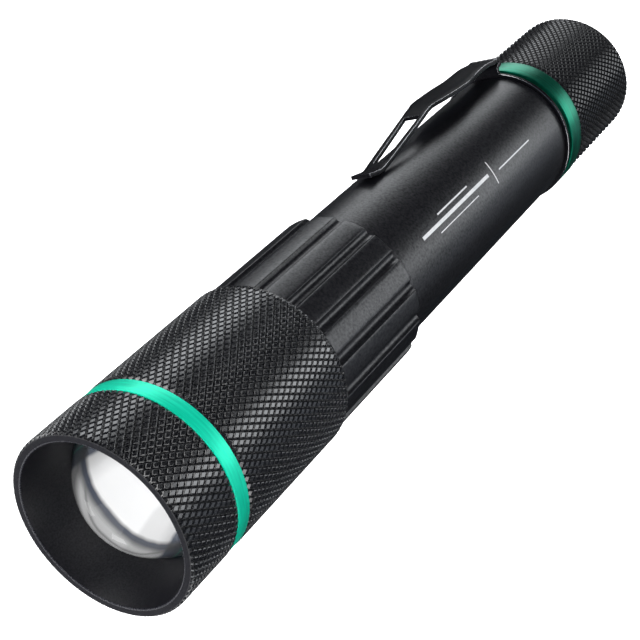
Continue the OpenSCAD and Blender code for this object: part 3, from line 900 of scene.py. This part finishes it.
SHEET = 0.75                             # thickness of the clip's steel
TAB_HALF, BAND_R = 3.15, 14.1
REACH = 16.825                           # middle of the sheet from the axis
HINGE_H, HINGE_Z = REACH - 0.4, SHOULDER_Z - 0.95
ARM = [(h, SHOULDER_Z + z) for h, z in (
    (REACH + 0.1, 3.2), (REACH + 0.15, 7), (REACH, 11), (REACH + 0.35, 17), (REACH + 0.9, 25),
    (REACH + 0.75, 28), (REACH + 0.15, 30.8), (14.35, 45.8), (14.0, 47.7), (14.2, 49.1), (14.9, 52.2))]
ARM = [(HINGE_H, HINGE_Z + 0.05), (HINGE_H, SHOULDER_Z + 0.4)] + ARM
WIDTH = smooth_path([(w, SHOULDER_Z + z) for w, z in (
    (TAB_HALF, -3.8), (TAB_HALF, 7.7), (3.5, 10.2), (4.0, 13.2), (4.05, 16.2), (3.85, 20.2), (3.5, 24.0),
    (2.7, 26.4), (2.55, 28.2), (2.5, 36.2), (2.3, 45.2), (2.15, 47.7), (2.0, 53.0))], 2)
WIN = (SHOULDER_Z + 30.2, SHOULDER_Z + 45.5)


def arm_columns(z):
    w = float(np.interp(z, [p[1] for p in WIDTH], [p[0] for p in WIDTH]))
    k = float(np.interp(z, WIN, (1.7, 1.15)))
    return (-w, -k, k, w)


def arm_window(path, i, j):
    mid = (path[i][1] + path[i + 1][1]) / 2
    return j == 1 and WIN[0] < mid < WIN[1]


heights = list(WIN) + list(np.linspace(SHOULDER_Z + 8, SHOULDER_Z + 50, 43))
arm_path = with_heights(smooth_path(ARM, 3), heights)
arm_me = strip("clip_steel", arm_path, arm_columns, arm_window, SHEET, 0.19)
arm = add_object("clip_steel", arm_me, "clip_arm", "clip", 40, ["clip_arm"])
# bright metal on the arm's bevels: a painted highlight along its edges
arm.data.materials.append(MAT["clip_edge"])

# the clip's band round the barrel and the tab that carries the arm
BAND_Z0 = SHOULDER_Z - 0.85
TAB_Z = SHOULDER_Z - 0.03 - SHEET / 2
TAB = [(WALL_R, TAB_Z), (HINGE_H - 1.2, TAB_Z), (HINGE_H - 1.2, HINGE_Z - 1.2), (HINGE_H, HINGE_Z - 1.2),
       (HINGE_H, HINGE_Z)]
band = lathe("band", fillet([(12.9, BAND_Z0, 0.05), (BAND_R, BAND_Z0, 0.2), (BAND_R, SHOULDER_Z, 0.2),
                             (12.9, SHOULDER_Z, 0.05)]), 192)
tab = strip("tab", smooth_path(TAB, 3), lambda z: (-TAB_HALF, TAB_HALF), lambda path, i, j: False,
            SHEET, 0.16)
band_ob = add_object("clip_band_steel", joined("clip_band_steel", [band, tab]), "barrel", "clip", 40,
                     ["clip_band"])
band_ob.data.materials.append(MAT["clip_edge"])
for poly in band_ob.data.polygons:       # painted highlight: bright metal on the band's outer corners, for thin glint lines
    on_corner = 0.3 < abs(poly.normal.z) < 0.95 and math.hypot(*poly.center.xy) > (BAND_R - 0.12) * MM
    beside_tab = abs(poly.center.x) > (TAB_HALF + 0.15) * MM or poly.center.y > 0
    if on_corner and beside_tab:
        poly.material_index = 1


# ---------------------------------------------------------------- floor

# a floor that curves up into a backdrop all round: pale from every side, and only the camera sees it
profile = fillet([(0.0, 0.0), (4.5, 0.0, 2.0), (4.5, 6.0, 2.0), (0.0, 6.0)], closed=False, steps=16)
floor_me = lathe("floor", [(r / MM, (FLOOR_Z + z) / MM) for r, z in profile], 96, closed=False)
floor_me.shade_smooth()
floor = bpy.data.objects.new("floor", floor_me)
scene.collection.objects.link(floor)
fm, ft, fb = material("floor_paper", (0.85, 0.85, 0.86), 0.8)
link(ft, ramp(ft, noise(ft, coordinates(ft), 40, 4.0), [(0.3, grey(0.83)), (0.7, grey(0.87))]),
     fb.inputs["Base Color"])
fb.inputs["Emission Color"].default_value = (0.97, 0.98, 1.0, 1)
fb.inputs["Emission Strength"].default_value = 0.62
floor_me.materials.append(fm)
floor.visible_glossy = False             # the metal reflects the softboxes, not the floor
floor.visible_diffuse = False
floor.visible_transmission = False
floor.visible_shadow = False
